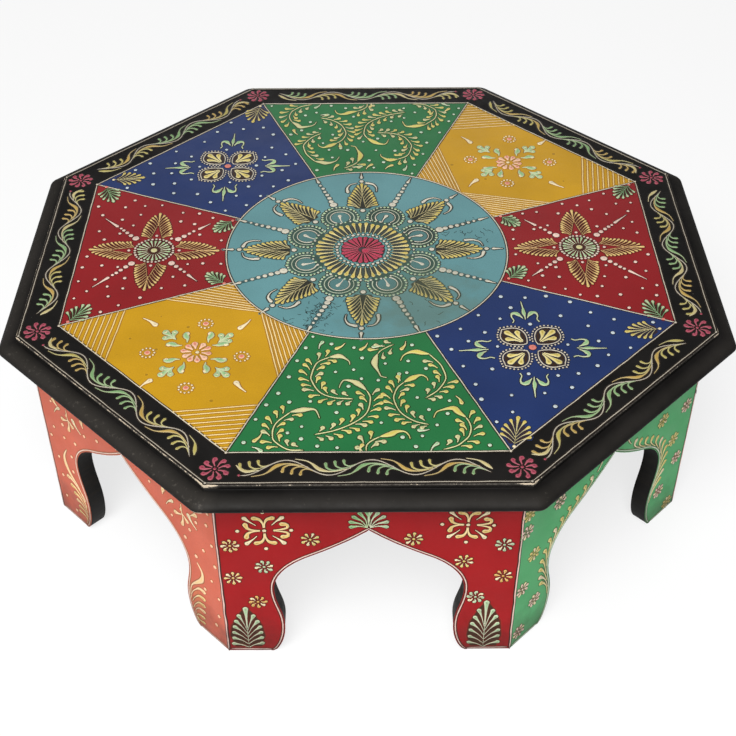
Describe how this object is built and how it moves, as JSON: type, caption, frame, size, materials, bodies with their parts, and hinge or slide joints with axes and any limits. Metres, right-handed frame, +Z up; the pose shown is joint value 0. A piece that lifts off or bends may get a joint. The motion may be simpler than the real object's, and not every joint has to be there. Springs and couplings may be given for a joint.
{
  "type": "low table",
  "caption": "Low octagonal table: a moulded top board on a ring of mitred boards with ogee arches that form the feet.",
  "frame": {"origin": "on the floor under the middle of the top", "axes": "+Z up, front side board facing -Y, +X to its right"},
  "size_m": [0.463, 0.463, 0.1574],
  "materials": {
    "black_paint": "satin black paint with raised painted ornament, slightly worn",
    "red_paint": "satin red paint, cut edges black",
    "green_paint": "satin green paint, cut edges black",
    "blue_paint": "satin blue paint, cut edges black",
    "coral_paint": "satin coral paint, cut edges black",
    "yellow_paint": "satin yellow paint",
    "turquoise_paint": "satin turquoise paint, worn and dirtied",
    "relief_paint": "thick raised paint lines and dots",
    "bare_wood": "unpainted sawn wood",
    "screw_steel": "dull zinc"
  },
  "bodies": {
    "root": {"top_board": "black_paint", "panel_right": "blue_paint", "panel_back_right": "coral_paint", "panel_back": "red_paint", "panel_back_left": "green_paint", "panel_left": "blue_paint", "panel_front_left": "coral_paint", "panel_front": "red_paint", "panel_front_right": "green_paint", "corner_block_1": "bare_wood", "top_screw_1": "screw_steel", "panel_screw_1a": "screw_steel", "panel_screw_1b": "screw_steel", "corner_block_2": "bare_wood", "top_screw_2": "screw_steel", "panel_screw_2a": "screw_steel", "panel_screw_2b": "screw_steel", "corner_block_3": "bare_wood", "top_screw_3": "screw_steel", "panel_screw_3a": "screw_steel", "panel_screw_3b": "screw_steel", "corner_block_4": "bare_wood", "top_screw_4": "screw_steel", "panel_screw_4a": "screw_steel", "panel_screw_4b": "screw_steel", "corner_block_5": "bare_wood", "top_screw_5": "screw_steel", "panel_screw_5a": "screw_steel", "panel_screw_5b": "screw_steel", "corner_block_6": "bare_wood", "top_screw_6": "screw_steel", "panel_screw_6a": "screw_steel", "panel_screw_6b": "screw_steel", "corner_block_7": "bare_wood", "top_screw_7": "screw_steel", "panel_screw_7a": "screw_steel", "panel_screw_7b": "screw_steel", "corner_block_8": "bare_wood", "top_screw_8": "screw_steel", "panel_screw_8a": "screw_steel", "panel_screw_8b": "screw_steel"}
  },
  "joints": []
}
